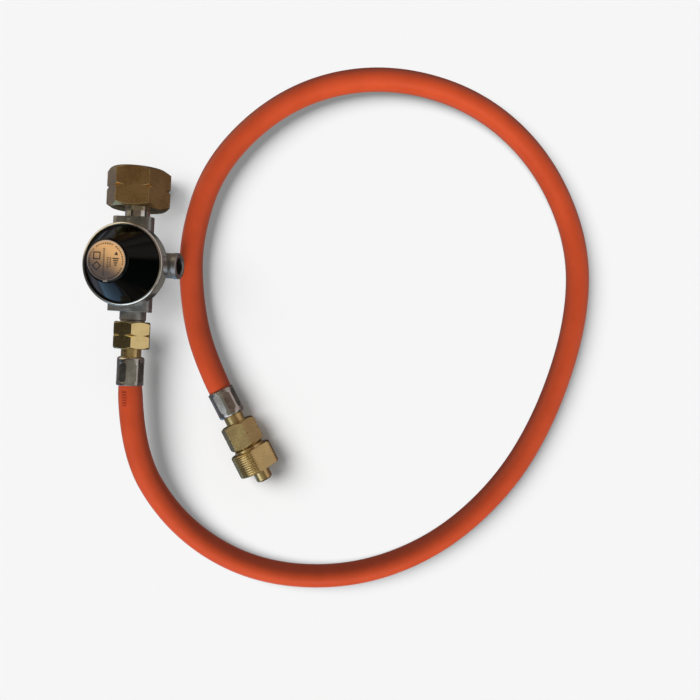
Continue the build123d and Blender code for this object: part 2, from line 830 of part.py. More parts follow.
pieces["ferrule_regulator_end"] = crimped_ferrule(
    FLOW_SECTION, FLOW_PROFILE, FLOW_AXIS, FERRULE_START, -FERRULE_LENGTH
)

# ---- appliance end ------------------------------------------------------------------------
FAR_NUT_END = FAR_NUT_START + FAR_NUT_LENGTH
FAR_NUT_WALL = FAR_NUT_START + 4.2
pieces["hose_nut_appliance_end"] = hexagon_nut(
    FAR_SECTION,
    FAR_PROFILE,
    FAR_AXIS,
    FAR_NUT_START,
    FAR_NUT_LENGTH,
    FAR_NUT_FLATS,
    FAR_NUT_TURN,
    FAR_NUT_NOTCH,
    [
        (FAR_NUT_START - 1, 0),
        (FAR_NUT_START - 1, NUT_BACK_HOLE_R),
        (FAR_NUT_WALL, NUT_BACK_HOLE_R),
        (FAR_NUT_WALL, NUT_CAVITY_R),
        (FAR_NUT_END - 0.9, NUT_CAVITY_R),
        (FAR_NUT_END, NUT_CAVITY_R + 0.9),
        (FAR_NUT_END + 1, NUT_CAVITY_R + 0.9),
        (FAR_NUT_END + 1, 0),
    ],
)
FAR_NECK_END = FERRULE_LENGTH - 0.9
pieces["ferrule_appliance_end"] = crimped_ferrule(
    FAR_SECTION, FAR_PROFILE, FAR_AXIS, FERRULE_LENGTH, -FERRULE_LENGTH
)
pieces["hose_tail_appliance_end"] = hose_tail(
    FAR_PROFILE, FAR_AXIS, FAR_NUT_WALL + 2 * FIT, FAR_NECK_END, -1
)

ADAPTER_SEAT = FAR_NUT_WALL + 2.7
RIDGES = int((ADAPTER_END - ADAPTER_START) / RIDGE_PITCH)
with BuildPart() as appliance_adapter:
    revolve(
        shape(
            FAR_PROFILE,
            (ADAPTER_SEAT, 0),
            (ADAPTER_SEAT, MALE_THREAD_R - 0.6),
            (ADAPTER_SEAT + 0.8, MALE_THREAD_R),
            (ADAPTER_COLLAR, MALE_THREAD_R),
            (ADAPTER_COLLAR, 8.2),
            (ADAPTER_COLLAR + 0.4, 8.6),
            (ADAPTER_START, 8.6),
            (ADAPTER_START, ADAPTER_R - 0.6),
            (ADAPTER_START + 0.5, ADAPTER_R),
            (ADAPTER_END - 0.5, ADAPTER_R),
            (ADAPTER_END, ADAPTER_R - 0.6),
            (ADAPTER_END, NOSE_R),
            (NOSE_END - 0.9, NOSE_R),
            (NOSE_END, NOSE_R - 0.9),
            (NOSE_END, 0),
        ),
        axis=FAR_AXIS,
    )
    # Ridges round the grip.
    for step in range(RIDGES):
        groove = ADAPTER_START + RIDGE_PITCH * (step + 0.62)
        revolve(
            shape(
                FAR_PROFILE,
                (groove, ADAPTER_R - RIDGE_DEPTH),
                (groove + 0.42, ADAPTER_R + 0.2),
                (groove - 0.42, ADAPTER_R + 0.2),
            ),
            axis=FAR_AXIS,
            mode=Mode.SUBTRACT,
        )
    # Two milled spanner flats.
    for side in (0, 180):
        with BuildSketch(FAR_SECTION.offset(ADAPTER_START - 0.01)):
            with PolarLocations(ADAPTER_FLATS / 2 + 2, 1, start_angle=ADAPTER_FLAT_TURN + side):
                Rectangle(4, 30)
        extrude(amount=ADAPTER_END - ADAPTER_START + 0.02, mode=Mode.SUBTRACT)
    # Coned seat for the hose tail, then the bore and the nose's countersink.
    revolve(
        shape(
            FAR_PROFILE,
            (ADAPTER_SEAT - 1, 0),
            (ADAPTER_SEAT - 1, SEAT_MOUTH_R),
            (ADAPTER_SEAT, SEAT_MOUTH_R),
            (ADAPTER_SEAT + (SEAT_MOUTH_R - 2.4) / SEAT_SLOPE, 2.4),
            (NOSE_END - 5, 2.4),
            (NOSE_END - 5, 3.0),
            (NOSE_END - 0.3, 3.0),
            (NOSE_END + 0.2, 3.5),
            (NOSE_END + 0.2, 0),
        ),
        axis=FAR_AXIS,
        mode=Mode.SUBTRACT,
    )
pieces["appliance_adapter"] = appliance_adapter

# ---- hose ---------------------------------------------------------------------------------
# The route's corners: out of the ferrule, down to the table, round the loop and up again into
# the appliance ferrule.
HOSE_START = Vector(AXIS_X, AXIS_Y + FERRULE_START - HOSE_INSET, AXIS_Z)
HOSE_END = Vector(FAR_X, FAR_Y, FAR_Z) + FAR_ALONG * (FERRULE_LENGTH - HOSE_INSET)
ROUTE = [
    tuple(HOSE_START),
    (AXIS_X, -89.4, AXIS_Z),
    (25.9, -136.5, HOSE_R),
    (71.1, -163.0, HOSE_R),
    (126.2, -165.7, HOSE_R),
    (176.0, -147.0, HOSE_R),
    (215.7, -110.7, HOSE_R),
    (240.9, -65.6, HOSE_R),
    (256.4, -7.4, HOSE_R),
    (253.8, 41.3, HOSE_R),
    (227.2, 89.5, HOSE_R),
    (184.2, 120.3, HOSE_R),
    (129.6, 128.7, HOSE_R),
    (78.9, 112.5, HOSE_R),
    (40.0, 73.2, HOSE_R),
    (27.3, 28.4, HOSE_R),
    (29.9, -9.6, HOSE_R),
    (40.0, -42.2, FAR_Z),
    tuple(HOSE_END),
]
corners = [Vector(*point) for point in ROUTE]
runs = [b - a for a, b in zip(corners, corners[1:])]
radii = []
for before, after in zip(runs, runs[1:]):
    half_turn = math.radians(before.get_angle(after)) / 2
    radii.append(0.45 * min(before.length, after.length) / math.tan(half_turn))
print("hose runs ", [round(run.length, 1) for run in runs])
print("hose radii", [round(radius, 1) for radius in radii])

with BuildPart() as hose:
    with BuildLine():
        path = FilletPolyline(*corners, radius=radii)
    with BuildSketch(Plane(origin=path @ 0, z_dir=path % 0)):
        Circle(HOSE_R)
        Circle(HOSE_BORE_R, mode=Mode.SUBTRACT)
    sweep(path=path)
length = path.length
section_area = math.pi * (HOSE_R**2 - HOSE_BORE_R**2)
print("hose length", round(length, 1), "volume ratio", hose.part.volume / (length * section_area))
pieces["hose"] = hose

# ---- write --------------------------------------------------------------------------------
for name, piece in pieces.items():
    piece.part.label = name
    export_step(piece.part, f"parts/{name}.step")
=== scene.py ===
import json
import math
import random

import bmesh
import bpy
from mathutils import Matrix, Vector


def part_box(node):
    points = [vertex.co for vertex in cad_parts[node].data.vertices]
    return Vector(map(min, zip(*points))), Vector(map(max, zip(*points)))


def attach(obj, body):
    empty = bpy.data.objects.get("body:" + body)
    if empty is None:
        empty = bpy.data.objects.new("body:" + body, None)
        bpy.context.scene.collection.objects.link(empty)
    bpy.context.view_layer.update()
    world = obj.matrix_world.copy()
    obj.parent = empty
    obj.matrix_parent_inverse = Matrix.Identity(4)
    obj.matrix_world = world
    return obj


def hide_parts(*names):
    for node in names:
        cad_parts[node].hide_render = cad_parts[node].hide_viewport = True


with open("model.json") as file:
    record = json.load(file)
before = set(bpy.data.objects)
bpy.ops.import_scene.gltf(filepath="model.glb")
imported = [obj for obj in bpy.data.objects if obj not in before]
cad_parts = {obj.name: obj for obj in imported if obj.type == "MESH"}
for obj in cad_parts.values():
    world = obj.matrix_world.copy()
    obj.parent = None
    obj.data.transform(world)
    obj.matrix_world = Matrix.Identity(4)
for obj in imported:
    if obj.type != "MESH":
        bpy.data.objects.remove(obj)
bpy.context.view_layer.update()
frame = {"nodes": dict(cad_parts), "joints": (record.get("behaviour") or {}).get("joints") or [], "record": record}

# Metres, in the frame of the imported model: +Z up, +Y towards the bottle, the regulator at the
# origin and the hose loop on the +X side.
MM = 0.001
random.seed(11)

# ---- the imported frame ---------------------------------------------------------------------
JOINTS = {joint["name"]: joint for joint in frame["joints"]}
MOUNTS = {mount["name"]: mount for mount in frame["record"]["mounts"]}
SLOT_OF = {part["node"]: part["material_slot"] for part in frame["record"]["subparts"]}

CAP_DIRECTION = Vector(JOINTS["diaphragm_lift"]["axis"]).normalized()
PORT_DIRECTION = Vector(MOUNTS["test_port"]["axis"]).normalized()
FLOW_DIRECTION = Vector((0, 1, 0))

# ---- camera -------------------------------------------------------------------------------
CAMERA_PLACE = Vector((0.0922, -0.0208, 0.4132))
CAMERA_TARGET = Vector((0.1225, -0.0314, 0.0))
CAMERA_ROLL = math.radians(3.19)
CAMERA_LENS = 36.0             # millimetres, on a sensor as wide
CAMERA_SENSOR = 36.0
NEAREST_SEEN = 0.01
FARTHEST_SEEN = 20.0


def make_camera():
    """Looks almost straight down, with +Y up in the picture and a slight roll."""
    data = bpy.data.cameras.new("camera")
    data.lens = CAMERA_LENS
    data.sensor_width = CAMERA_SENSOR
    data.clip_start = NEAREST_SEEN
    data.clip_end = FARTHEST_SEEN
    camera = bpy.data.objects.new("camera", data)
    bpy.context.scene.collection.objects.link(camera)
    ahead = (CAMERA_TARGET - CAMERA_PLACE).normalized()
    right = ahead.cross(FLOW_DIRECTION).normalized()
    up = right.cross(ahead)
    turn = Matrix((right, up, -ahead)).transposed().to_4x4()
    roll = Matrix.Rotation(CAMERA_ROLL, 4, "Z")
    camera.matrix_world = Matrix.Translation(CAMERA_PLACE) @ turn @ roll
    bpy.context.scene.camera = camera


# ---- node helpers -------------------------------------------------------------------------
class Nodes:
    """Short calls for building a node tree."""

    def __init__(self, tree):
        self.tree = tree

    def add(self, kind, **settings):
        node = self.tree.nodes.new(kind)
        for name, value in settings.items():
            setattr(node, name, value)
        return node

    def link(self, source, target):
        self.tree.links.new(source, target)

    def put(self, socket, value):
        """A value or another node's output into a socket."""
        if isinstance(value, bpy.types.NodeSocket):
            self.link(value, socket)
        else:
            socket.default_value = value

    def math(self, operation, a, b=0.0):
        node = self.add("ShaderNodeMath", operation=operation)
        self.put(node.inputs[0], a)
        self.put(node.inputs[1], b)
        return node.outputs[0]

    def span(self, value, low, high, to_low=0.0, to_high=1.0, smooth=False):
        """A value's run from low to high, turned into to_low to to_high."""
        node = self.add("ShaderNodeMapRange")
        if smooth:
            node.interpolation_type = "SMOOTHSTEP"
        self.put(node.inputs["Value"], value)
        node.inputs["From Min"].default_value = low
        node.inputs["From Max"].default_value = high
        node.inputs["To Min"].default_value = to_low
        node.inputs["To Max"].default_value = to_high
        return node.outputs[0]

    def mix(self, share, a, b):
        """Colour a at share 0, colour b at share 1."""
        node = self.add("ShaderNodeMix", data_type="RGBA")
        self.put(node.inputs[0], share)
        self.put(node.inputs[6], a)
        self.put(node.inputs[7], b)
        return node.outputs[2]

    def along(self, vector, centre, direction):
        """How far a place lies from a centre along a direction."""
        offset = self.add("ShaderNodeVectorMath", operation="SUBTRACT")
        self.link(vector, offset.inputs[0])
        offset.inputs[1].default_value = centre
        dot = self.add("ShaderNodeVectorMath", operation="DOT_PRODUCT")
        self.link(offset.outputs[0], dot.inputs[0])
        dot.inputs[1].default_value = direction
        return dot.outputs["Value"]

    def distance(self, vector, centre):
        """How far a place lies from a centre."""
        node = self.add("ShaderNodeVectorMath", operation="DISTANCE")
        self.link(vector, node.inputs[0])
        node.inputs[1].default_value = centre
        return node.outputs["Value"]

    def noise(self, vector, scale, detail=3.0, roughness=0.55):
        node = self.add("ShaderNodeTexNoise")
        self.link(vector, node.inputs["Vector"])
        node.inputs["Scale"].default_value = scale
        node.inputs["Detail"].default_value = detail
        node.inputs["Roughness"].default_value = roughness
        return node.outputs["Fac"]

    def stretched(self, vector, scale):
        node = self.add("ShaderNodeMapping")
        self.link(vector, node.inputs["Vector"])
        node.inputs["Scale"].default_value = scale
        return node.outputs["Vector"]


def rgba(red, green, blue):
    """An opaque colour for a socket."""
    return (red, green, blue, 1.0)


# ---- studio -------------------------------------------------------------------------------
FLOOR_WHITE = 0.922            # brightness of what lies beyond the floor
AMBIENT = 0.25                 # even light that matt surfaces get from all round
CEILING = (0.15, 0.112, 0.085)
HORIZON = (0.17, 0.135, 0.11)
BELOW = (0.035, 0.032, 0.030)
CEILING_BLEND = (8, 50)        # elevations in degrees
BELOW_BLEND = (-32, -8)
STUDIO_PANELS = [
    # name, azimuth from +X, its half width, elevation, its half height, soft edge, colour
    ("side_glow", 40, 45, 12, 22, 12, (0.45, 0.39, 0.36)),
    ("right_window", -8, 24, 27, 15, 9, (0.68, 0.64, 0.60)),
    ("low_right", 5, 50, -18, 7, 6, (0.20, 0.155, 0.14)),
    ("right_table", 10, 60, -54, 10, 8, (0.150, 0.140, 0.125)),
    ("front_table", 288, 25, -44, 8, 8, (0.19, 0.14, 0.105)),
    ("hose_glow", 8, 7, -56, 5, 4, (0.30, 0.055, 0.035)),
    ("dark_right", -28, 40, 0, 5, 14, (0.015, 0.015, 0.015)),
    ("dark_left", 185, 42, 38, 17, 6, (0.010, 0.010, 0.012)),
    ("front_glow", 275, 75, 62, 22, 22, (0.26, 0.25, 0.20)),
    ("front_window", 257, 40, 38, 14, 5, (1.15, 1.30, 1.42)),
    ("left_horizon", 215, 35, 4, 8, 8, (0.10, 0.13, 0.16)),
    ("warm_strip", 143, 22, 8, 24, 8, (1.10, 0.92, 0.62)),
    ("left_table", 178, 36, -42, 12, 10, (0.17, 0.18, 0.22)),
    ("table_patch", 246, 22, -36, 11, 8, (0.34, 0.56, 0.82)),
    ("table_glint", 112, 14, -36, 9, 8, (0.22, 0.22, 0.23)),
]


def make_world():
    """Glossy rays see a dark room with soft panels, matt ones an even grey, the camera white."""
    world = bpy.data.worlds.new("studio")
    bpy.context.scene.world = world
    world.use_nodes = True
    world.cycles.sampling_method = "NONE"
    tree = Nodes(world.node_tree)
    world.node_tree.nodes.clear()
    place = tree.add("ShaderNodeTexCoord").outputs["Generated"]
    split = tree.add("ShaderNodeSeparateXYZ")
    tree.link(place, split.inputs[0])
    x, y, z = split.outputs
    elevation = tree.math("DEGREES", tree.math("ARCSINE", z))
    squares = tree.math("ADD", tree.math("MULTIPLY", x, x), tree.math("MULTIPLY", y, y))
    level = tree.math("SQRT", squares)
    # A warm dark ceiling, a brown band at the horizon, and near black below it.
    room = tree.mix(tree.span(elevation, *CEILING_BLEND, smooth=True), rgba(*HORIZON), rgba(*CEILING))
    room = tree.mix(tree.span(elevation, *BELOW_BLEND, smooth=True), rgba(*BELOW), room)
    for _, azimuth, half_width, height, half_height, soft, colour in STUDIO_PANELS:
        turn = math.radians(azimuth)
        ahead = tree.math("MULTIPLY", x, math.cos(turn))
        beside = tree.math("MULTIPLY", y, math.sin(turn))
        along = tree.math("ADD", ahead, beside)
        aside = tree.math("DEGREES", tree.math("ARCCOSINE", tree.math("DIVIDE", along, level)))
        across = tree.span(aside, half_width, half_width + soft, 1.0, 0.0, smooth=True)
        off = tree.math("ABSOLUTE", tree.math("SUBTRACT", elevation, float(height)))
        upright = tree.span(off, half_height, half_height + soft, 1.0, 0.0, smooth=True)
        room = tree.mix(tree.math("MULTIPLY", across, upright), room, rgba(*colour))
    rays = tree.add("ShaderNodeLightPath")
    grey = rgba(AMBIENT, AMBIENT, AMBIENT)
    pale = rgba(FLOOR_WHITE, FLOOR_WHITE, FLOOR_WHITE)
    seen = tree.mix(rays.outputs["Is Diffuse Ray"], room, grey)
    seen = tree.mix(rays.outputs["Is Camera Ray"], seen, pale)
    background = tree.add("ShaderNodeBackground")
    tree.link(seen, background.inputs["Color"])
    output = tree.add("ShaderNodeOutputWorld")
    tree.link(background.outputs[0], output.inputs["Surface"])


FLOOR_HALF = 6.0
FLOOR_TONE = 0.95


def make_floor():
    """A plain pale floor that stays out of the metals' reflections."""
    mesh = bpy.data.meshes.new("floor")
    half = FLOOR_HALF
    corners = [(-half, -half, 0), (half, -half, 0), (half, half, 0), (-half, half, 0)]
    mesh.from_pydata(corners, [], [(0, 1, 2, 3)])
    floor = bpy.data.objects.new("floor", mesh)
    bpy.context.scene.collection.objects.link(floor)
    material = bpy.data.materials.new("floor")
    material.use_nodes = True
    shader = material.node_tree.nodes["Principled BSDF"]
    shader.inputs["Base Color"].default_value = rgba(FLOOR_TONE, FLOOR_TONE, FLOOR_TONE)
    shader.inputs["Roughness"].default_value = 1.0
    shader.inputs["Specular IOR Level"].default_value = 0.0
    mesh.materials.append(material)
    floor.visible_glossy = False
    floor.visible_diffuse = False
    return floor


def make_sun(name, towards, angle, strength, colour=(1.0, 1.0, 1.0)):
    """A soft sun that shines from a direction and is not seen in the metals."""
    data = bpy.data.lights.new(name, "SUN")
    data.energy = strength
    data.angle = math.radians(angle)
    data.color = colour
    light = bpy.data.objects.new(name, data)
    bpy.context.scene.collection.objects.link(light)
    light.rotation_mode = "QUATERNION"
    light.rotation_quaternion = Vector(towards).to_track_quat("Z", "Y")
    light.visible_glossy = False
    return light


def linked(name, objects, state):
    """A light-linking collection of objects, all included or all excluded."""
    group = bpy.data.collections.new(name)
    for index, obj in enumerate(objects):
        group.objects.link(obj)
        group.collection_objects[index].light_linking.link_state = state
    return group


FLOOR_SUN = (-0.60, 0.20, 0.77)
FLOOR_SUN_ANGLE = 44
FLOOR_SUN_STRENGTH = 2.93
WINDOW = (-0.13, -0.79, 0.60)
WINDOW_ANGLE = 34
WINDOW_STRENGTH = 2.72
WINDOW_COLOUR = (1.0, 0.985, 0.97)
TALL = 22.0 * MM               # height from which a piece counts as tall
TALL_REACH = 30.0 * MM         # the regulator's pieces begin short of this X
TALL_SHARE = 0.55              # share of the floor's light that the tall pieces hold back


def tall_pieces():
    """The regulator's tall pieces, which would throw too long a shade on the floor."""
    found = []
    for name, node in frame["nodes"].items():
        low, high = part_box(name)
        if high.z > TALL and low.x < TALL_REACH:
            found.append(node)
    return found


def floor_light(name, share, floor):
    """A sun for the floor alone, with a share of the floor's light."""
    light = make_sun(name, FLOOR_SUN, FLOOR_SUN_ANGLE, FLOOR_SUN_STRENGTH * share)
    light.light_linking.receiver_collection = linked(name + "_floor", [floor], "INCLUDE")
    return light


def make_studio():
    """World, floor and three suns: two for the floor's shade, one for the objects."""
    make_world()
    floor = make_floor()
    # The bright ring stays out of the cap's gloss.
    frame["nodes"]["clamp_ring"].visible_glossy = False
    tall = tall_pieces()
    for node in tall:
        node.visible_diffuse = False
    floor_light("floor_light", TALL_SHARE, floor)
    low = floor_light("low_floor_light", 1.0 - TALL_SHARE, floor)
    low.light_linking.blocker_collection = linked("low_shade", tall, "EXCLUDE")
    window = make_sun("window_light", WINDOW, WINDOW_ANGLE, WINDOW_STRENGTH, WINDOW_COLOUR)
    window.light_linking.receiver_collection = linked("all_but_floor", [floor], "EXCLUDE")
    window.light_linking.blocker_collection = linked("window_shade", tall, "EXCLUDE")


# ---- materials ----------------------------------------------------------------------------
def new_material(name):
    """An empty node material, its tree, its shader and object-space coordinates."""
    material = bpy.data.materials.new(name)
    material.use_nodes = True
    material.node_tree.nodes.clear()
    tree = Nodes(material.node_tree)
    shader = tree.add("ShaderNodeBsdfPrincipled")
    output = tree.add("ShaderNodeOutputMaterial")
    tree.link(shader.outputs[0], output.inputs["Surface"])
    place = tree.add("ShaderNodeTexCoord").outputs["Object"]
    return material, tree, shader, place


BEVEL_SAMPLES = 6
FINE_GRAIN = 0.05 * MM         # depth that a surface's fine grain stands for


def bump(tree, shader, height, strength, distance, edge=0.0):
    """Fine relief, on top of softened edges where edge is their radius."""
    node = tree.add("ShaderNodeBump")
    node.inputs["Strength"].default_value = strength
    node.inputs["Distance"].default_value = distance
    tree.link(height, node.inputs["Height"])
    if edge:
        soft = tree.add("ShaderNodeBevel", samples=BEVEL_SAMPLES)
        soft.inputs["Radius"].default_value = edge
        tree.link(soft.outputs[0], node.inputs["Normal"])
    tree.link(node.outputs[0], shader.inputs["Normal"])


def metal(name, pale, dark, rough, grain=900.0, relief=0.2, edge=0.25 * MM, patch=140.0):
    """Metal with patchy tone and roughness, fine grain and softened edges."""
    material, tree, shader, place = new_material(name)
    shader.inputs["Metallic"].default_value = 1.0
    patches = tree.noise(place, patch, 4.0)
    share = tree.span(patches, 0.35, 0.68, smooth=True)
    tree.link(tree.mix(share, rgba(*dark), rgba(*pale)), shader.inputs["Base Color"])
    fine = tree.noise(place, grain, 2.0)
    both = tree.math("ADD", tree.math("MULTIPLY", patches, 0.5), tree.math("MULTIPLY", fine, 0.5))
    tree.link(tree.span(both, 0.3, 0.7, *rough), shader.inputs["Roughness"])
    bump(tree, shader, fine, relief, FINE_GRAIN, edge)
    return material


ZINC_DARK = (0.34, 0.35, 0.36)
ZINC_PALE = (0.50, 0.50, 0.51)
ZINC_ROUGH = (0.34, 0.48)
ZINC_GRAIN = 0.10 * MM
ZINC_EDGE = 0.45 * MM


def cast_zinc():
    """Die-cast zinc: blasted, with fine round grains and cloudy patches."""
    material, tree, shader, place = new_material("cast_zinc")
    shader.inputs["Metallic"].default_value = 1.0
    cloudy = tree.noise(place, 160.0, 4.0)
    grains = tree.add("ShaderNodeTexVoronoi")
    grains.inputs["Scale"].default_value = 1500.0
    tree.link(place, grains.inputs["Vector"])
    tone = tree.mix(tree.span(cloudy, 0.35, 0.65), rgba(*ZINC_DARK), rgba(*ZINC_PALE))
    tree.link(tone, shader.inputs["Base Color"])
    tree.link(tree.span(cloudy, 0.3, 0.7, *ZINC_ROUGH), shader.inputs["Roughness"])
    height = tree.math("ADD", grains.outputs["Distance"], tree.math("MULTIPLY", cloudy, 1.6))
    bump(tree, shader, height, 0.35, ZINC_GRAIN, ZINC_EDGE)
    return material


PLASTIC_DARK = (0.0006, 0.0010, 0.0010)
PLASTIC_PALE = (0.0016, 0.0022, 0.0022)
PLASTIC_ROUGH = (0.10, 0.20)   # clean, and where dust lies
PLASTIC_IOR = 1.30
PLASTIC_RIPPLE = 0.12 * MM
PLASTIC_EDGE = 0.3 * MM


def gloss_plastic():
    """Glossy black plastic with a faint moulding ripple and specks of dust."""
    material, tree, shader, place = new_material("black_plastic")
    ripple = tree.noise(place, 60.0, 2.0)
    dust = tree.noise(place, 2600.0, 1.0)
    tone = tree.mix(ripple, rgba(*PLASTIC_DARK), rgba(*PLASTIC_PALE))
    tree.link(tone, shader.inputs["Base Color"])
    tree.link(tree.span(dust, 0.62, 0.80, *PLASTIC_ROUGH), shader.inputs["Roughness"])
    shader.inputs["IOR"].default_value = PLASTIC_IOR
    bump(tree, shader, ripple, 0.12, PLASTIC_RIPPLE, PLASTIC_EDGE)
    return material


# Painted shade: the label's tone runs from dark brown on one side to bright copper on the other, standing for how
# light falls across the foil.
LABEL_SHADED_TONE = (0.130, 0.100, 0.090)
LABEL_LIT_TONE = (1.0, 0.57, 0.24)
LABEL_RIM = (0.50, 0.44, 0.40)
LABEL_ROUGH = (0.30, 0.46)
LABEL_METALLIC = 0.1
LABEL_SHADE = (-5.0 * MM, 8.5 * MM)    # where along the slant it is darkest and brightest
LABEL_CLOUD = 3.0 * MM
LABEL_CUT_EDGE = (9.8 * MM, 10.05 * MM)
LABEL_LIGHT_SLANT = PORT_DIRECTION * 0.45 + FLOW_DIRECTION * 0.89


def label_place():
    """The label's centre and the direction of its painted shade, in the label's own coordinates."""
    label = frame["nodes"]["rating_label"]
    low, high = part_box("rating_label")
    back = label.matrix_world.inverted()
    centre = back @ ((low + high) / 2)
    slant = back.to_3x3() @ LABEL_LIGHT_SLANT
    return centre, slant.normalized()


def label_metal():
    """Copper-coloured satin foil with a pale cut edge, and painted shade that darkens it towards one side."""
    material, tree, shader, place = new_material("label_metal")
    shader.inputs["Metallic"].default_value = LABEL_METALLIC
    centre, slant = label_place()
    brushed = tree.noise(tree.stretched(place, (0.12, 1.0, 1.0)), 3200.0, 2.0)
    cloudy = tree.noise(place, 180.0, 3.0)
    # Painted shade across the label, its edge made cloudy by noise.
    across = tree.along(place, centre, slant)
    across = tree.math("ADD", across, tree.math("MULTIPLY", cloudy, LABEL_CLOUD))
    share = tree.span(across, *LABEL_SHADE, smooth=True)
    tone = tree.mix(share, rgba(*LABEL_SHADED_TONE), rgba(*LABEL_LIT_TONE))
    rim = tree.span(tree.distance(place, centre), *LABEL_CUT_EDGE, 0.0, 0.6)
    tone = tree.mix(rim, tone, rgba(*LABEL_RIM))
    tree.link(tone, shader.inputs["Base Color"])
    tree.link(tree.span(brushed, 0.3, 0.7, *LABEL_ROUGH), shader.inputs["Roughness"])
    bump(tree, shader, brushed, 0.15, 0.02 * MM)
    return material


def plain_matt(name, dark, pale, rough, grain, relief):
    """Rubber, blackened steel or print: matt, slightly mottled."""
    material, tree, shader, place = new_material(name)
    mottled = tree.noise(place, grain * 0.2, 3.0)
    fine = tree.noise(place, grain, 3.0)
    tree.link(tree.mix(mottled, rgba(*dark), rgba(*pale)), shader.inputs["Base Color"])
    tree.link(tree.span(fine, 0.3, 0.7, rough - 0.08, rough + 0.08), shader.inputs["Roughness"])
    bump(tree, shader, fine, relief, FINE_GRAIN)
    return material


HOSE_DARK = (0.625, 0.073, 0.017)
HOSE_PALE = (0.685, 0.084, 0.021)
HOSE_SPECK = (0.42, 0.050, 0.014)
HOSE_ROUGH = (0.40, 0.52)
HOSE_SHEEN = 0.30
HOSE_SHEEN_TINT = (1.0, 0.74, 0.66)
CLOTH_SHARE = 0.6              # what the cloth and the specks add to the relief
SPECK_SHARE = 0.9
CLOTH_DEPTH = 0.10 * MM


def hose_rubber():
    """Orange rubber with the fine cloth impression of a wrapped gas hose."""
    material, tree, shader, place = new_material("orange_rubber")
    along = tree.add("ShaderNodeUVMap", uv_map="hose").outputs["UV"]
    clouds = tree.noise(place, 55.0, 4.0, 0.6)
    specks = tree.noise(place, 900.0, 2.0)
    tone = tree.mix(tree.span(clouds, 0.3, 0.7, smooth=True), rgba(*HOSE_DARK), rgba(*HOSE_PALE))
    tone = tree.mix(tree.span(specks, 0.62, 0.80, 0.0, 0.25), tone, rgba(*HOSE_SPECK))
    tree.link(tone, shader.inputs["Base Color"])
    weave = []
    for direction in ("X", "Y"):
        wave = tree.add("ShaderNodeTexWave", wave_type="BANDS", bands_direction=direction)
        tree.link(along, wave.inputs["Vector"])
        wave.inputs["Scale"].default_value = 1.0
        wave.inputs["Distortion"].default_value = 1.2
        wave.inputs["Detail"].default_value = 1.0
        weave.append(wave.outputs["Fac"])
    cloth = tree.math("MULTIPLY", weave[0], weave[1])
    raised = tree.math("MULTIPLY", cloth, CLOTH_SHARE)
    height = tree.math("ADD", raised, tree.math("MULTIPLY", specks, SPECK_SHARE))
    tree.link(tree.span(clouds, 0.3, 0.7, *HOSE_ROUGH), shader.inputs["Roughness"])
    shader.inputs["Specular IOR Level"].default_value = 0.5
    shader.inputs["Sheen Weight"].default_value = HOSE_SHEEN
    shader.inputs["Sheen Roughness"].default_value = 0.4
    shader.inputs["Sheen Tint"].default_value = rgba(*HOSE_SHEEN_TINT)
    bump(tree, shader, height, 0.22, CLOTH_DEPTH)
    return material


METALS = {
    # pale tone, dark tone, least and greatest roughness, and what else is not as usual
    "bright_zinc": (
        (0.86, 0.85, 0.83), (0.72, 0.71, 0.69), (0.09, 0.17),
        {"relief": 0.05, "edge": 0.3 * MM},
    ),
    "turned_alloy": ((0.80, 0.80, 0.80), (0.66, 0.66, 0.66), (0.22, 0.36), {}),
    "spring_steel": ((0.62, 0.62, 0.62), (0.45, 0.45, 0.46), (0.24, 0.38), {}),
    "plain_steel": ((0.62, 0.61, 0.60), (0.46, 0.46, 0.46), (0.26, 0.42), {}),
    "fitting_brass": ((0.84, 0.63, 0.30), (0.68, 0.50, 0.24), (0.20, 0.34), {"relief": 0.22}),
    "pale_brass": ((0.92, 0.73, 0.36), (0.80, 0.62, 0.30), (0.12, 0.22), {"relief": 0.12}),
    "dark_brass": (
        (0.72, 0.50, 0.23), (0.56, 0.37, 0.17), (0.20, 0.36),
        {"relief": 0.15, "edge": 0.45 * MM, "patch": 90.0},
    ),
    "plated_steel": ((0.78, 0.77, 0.74), (0.60, 0.58, 0.55), (0.10, 0.22), {"relief": 0.06}),
    "sintered_bronze": (
        (0.50, 0.36, 0.20), (0.30, 0.21, 0.12), (0.5, 0.7),
        {"grain": 2400.0, "relief": 0.8},
    ),
    "ferrule_steel": ((0.66, 0.64, 0.62), (0.50, 0.47, 0.46), (0.10, 0.22), {"relief": 0.08}),
}
MATTS = {
    # dark tone, pale tone, roughness, grain, relief
    "black_rubber": ((0.012, 0.012, 0.012), (0.028, 0.028, 0.028), 0.62, 900.0, 0.3),
    # blackened_steel also covers the test port's thread, where its near-black is painted shade for the bore's
    # darkness.
    "blackened_steel": ((0.002, 0.002, 0.002), (0.006, 0.005, 0.004), 0.7, 900.0, 0.2),
    "print_ink": ((0.016, 0.014, 0.016), (0.035, 0.03, 0.03), 0.5, 1200.0, 0.1),
    "hose_ink": ((0.30, 0.034, 0.012), (0.42, 0.048, 0.016), 0.6, 1200.0, 0.1),
}


def make_materials():
    """Every material of the scene by its name."""
    made = {
        "cast_zinc": cast_zinc(),
        "black_plastic": gloss_plastic(),
        "label_metal": label_metal(),
        "orange_rubber": hose_rubber(),
    }
    for name, (pale, dark, rough, unusual) in METALS.items():
        made[name] = metal(name, pale, dark, rough, **unusual)
    for name, values in MATTS.items():
        made[name] = plain_matt(name, *values)
    return made


MATERIALS = make_materials()


def dress_nodes():
    """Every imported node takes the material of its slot."""
    for name, node in frame["nodes"].items():
        node.data.materials.clear()
        node.data.materials.append(MATERIALS[SLOT_OF[name]])


def add_piece(name, mesh, material, body):
    """A new smooth piece that rides on a body."""
    piece = bpy.data.objects.new(name, mesh)
    bpy.context.scene.collection.objects.link(piece)
    mesh.materials.append(MATERIALS[material])
    for face in mesh.polygons:
        face.use_smooth = True
    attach(piece, body)
    return piece


